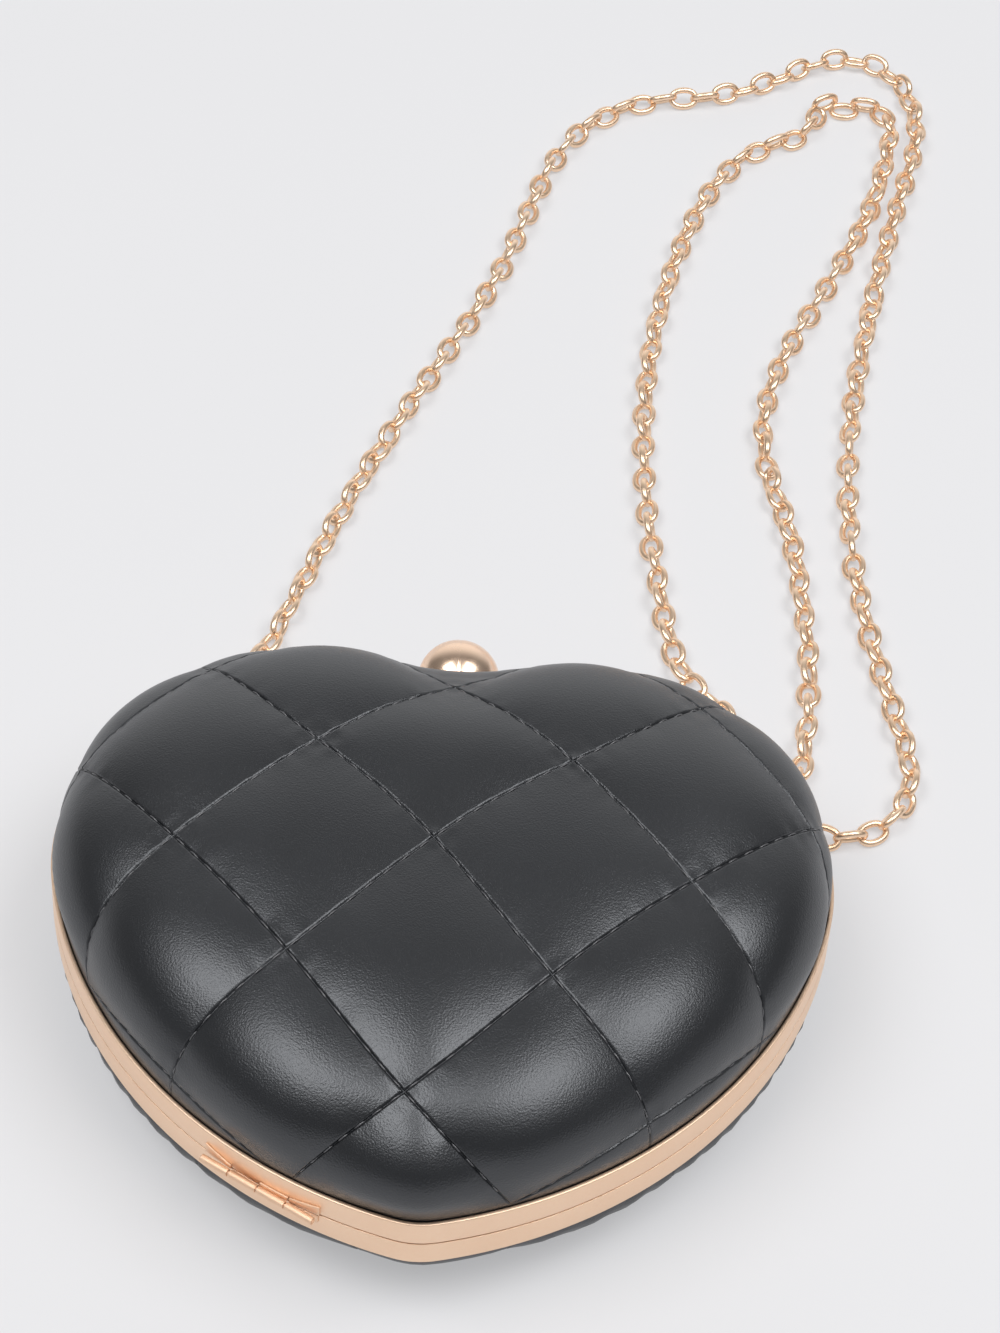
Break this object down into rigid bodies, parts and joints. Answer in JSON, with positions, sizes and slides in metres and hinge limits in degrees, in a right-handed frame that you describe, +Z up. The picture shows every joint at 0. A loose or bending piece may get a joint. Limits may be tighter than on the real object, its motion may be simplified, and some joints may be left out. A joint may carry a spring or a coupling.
{
  "type": "heart shaped clutch purse",
  "caption": "Heart shaped hard clutch with quilted leather covers, a gold hinged frame, a ball clasp and a long chain strap.",
  "frame": {"origin": "middle of the flat on the back cover that the clutch rests on", "axes": "+Z up through the front cover, +Y from the point of the heart to its cleft, +X to the right lobe"},
  "size_m": [0.2019, 0.4253, 0.0599],
  "materials": {
    "quilted_leather": "smooth quilted leather, semi matt",
    "foam": "thin quilting foam",
    "shell_plastic": "moulded hard shell",
    "lining_fabric": "woven satin lining",
    "frame_gold": "satin rose gold plating",
    "hinge_gold": "satin rose gold plating",
    "clasp_gold": "polished pale gold plating",
    "hardware_gold": "pale gold plating",
    "chain_gold": "polished gold anodised links",
    "spring_steel": "bright spring steel"
  },
  "bodies": {
    "back_half": {"back_cover": "quilted_leather", "back_padding": "foam", "back_shell": "shell_plastic", "back_lining": "lining_fabric", "back_frame": "frame_gold", "back_knuckles": "hinge_gold", "hinge_pin": "hinge_gold", "clasp_catch": "hardware_gold", "catch_rivets": "hardware_gold", "strap_eye_left": "hardware_gold", "strap_eye_right": "hardware_gold", "strap_ring_left": "chain_gold", "strap_ring_right": "chain_gold", "strap_chain": "chain_gold"},
    "front_half": {"front_cover": "quilted_leather", "front_padding": "foam", "front_shell": "shell_plastic", "front_lining": "lining_fabric", "front_frame": "frame_gold", "front_knuckles": "hinge_gold", "clasp_bracket": "hardware_gold", "bracket_rivets": "hardware_gold", "clasp_pin": "hardware_gold", "clasp_spring": "spring_steel"},
    "clasp": {"clasp_lever": "hardware_gold", "clasp_ball": "clasp_gold"}
  },
  "joints": [
    {"name": "lid_hinge", "type": "hinge", "parent": "back_half", "child": "front_half", "pos_m": [-0.03284, -0.06545, 0.0237], "axis": [0.866, -0.5, 0], "range_deg": [0, 105]},
    {"name": "clasp_press", "type": "hinge", "parent": "front_half", "child": "clasp", "pos_m": [0, 0.06585, 0.0256], "axis": [1, 0, 0], "range_deg": [0, 14], "stiffness_Nm_per_rad": 0.15, "springref_deg": -5.73}
  ]
}
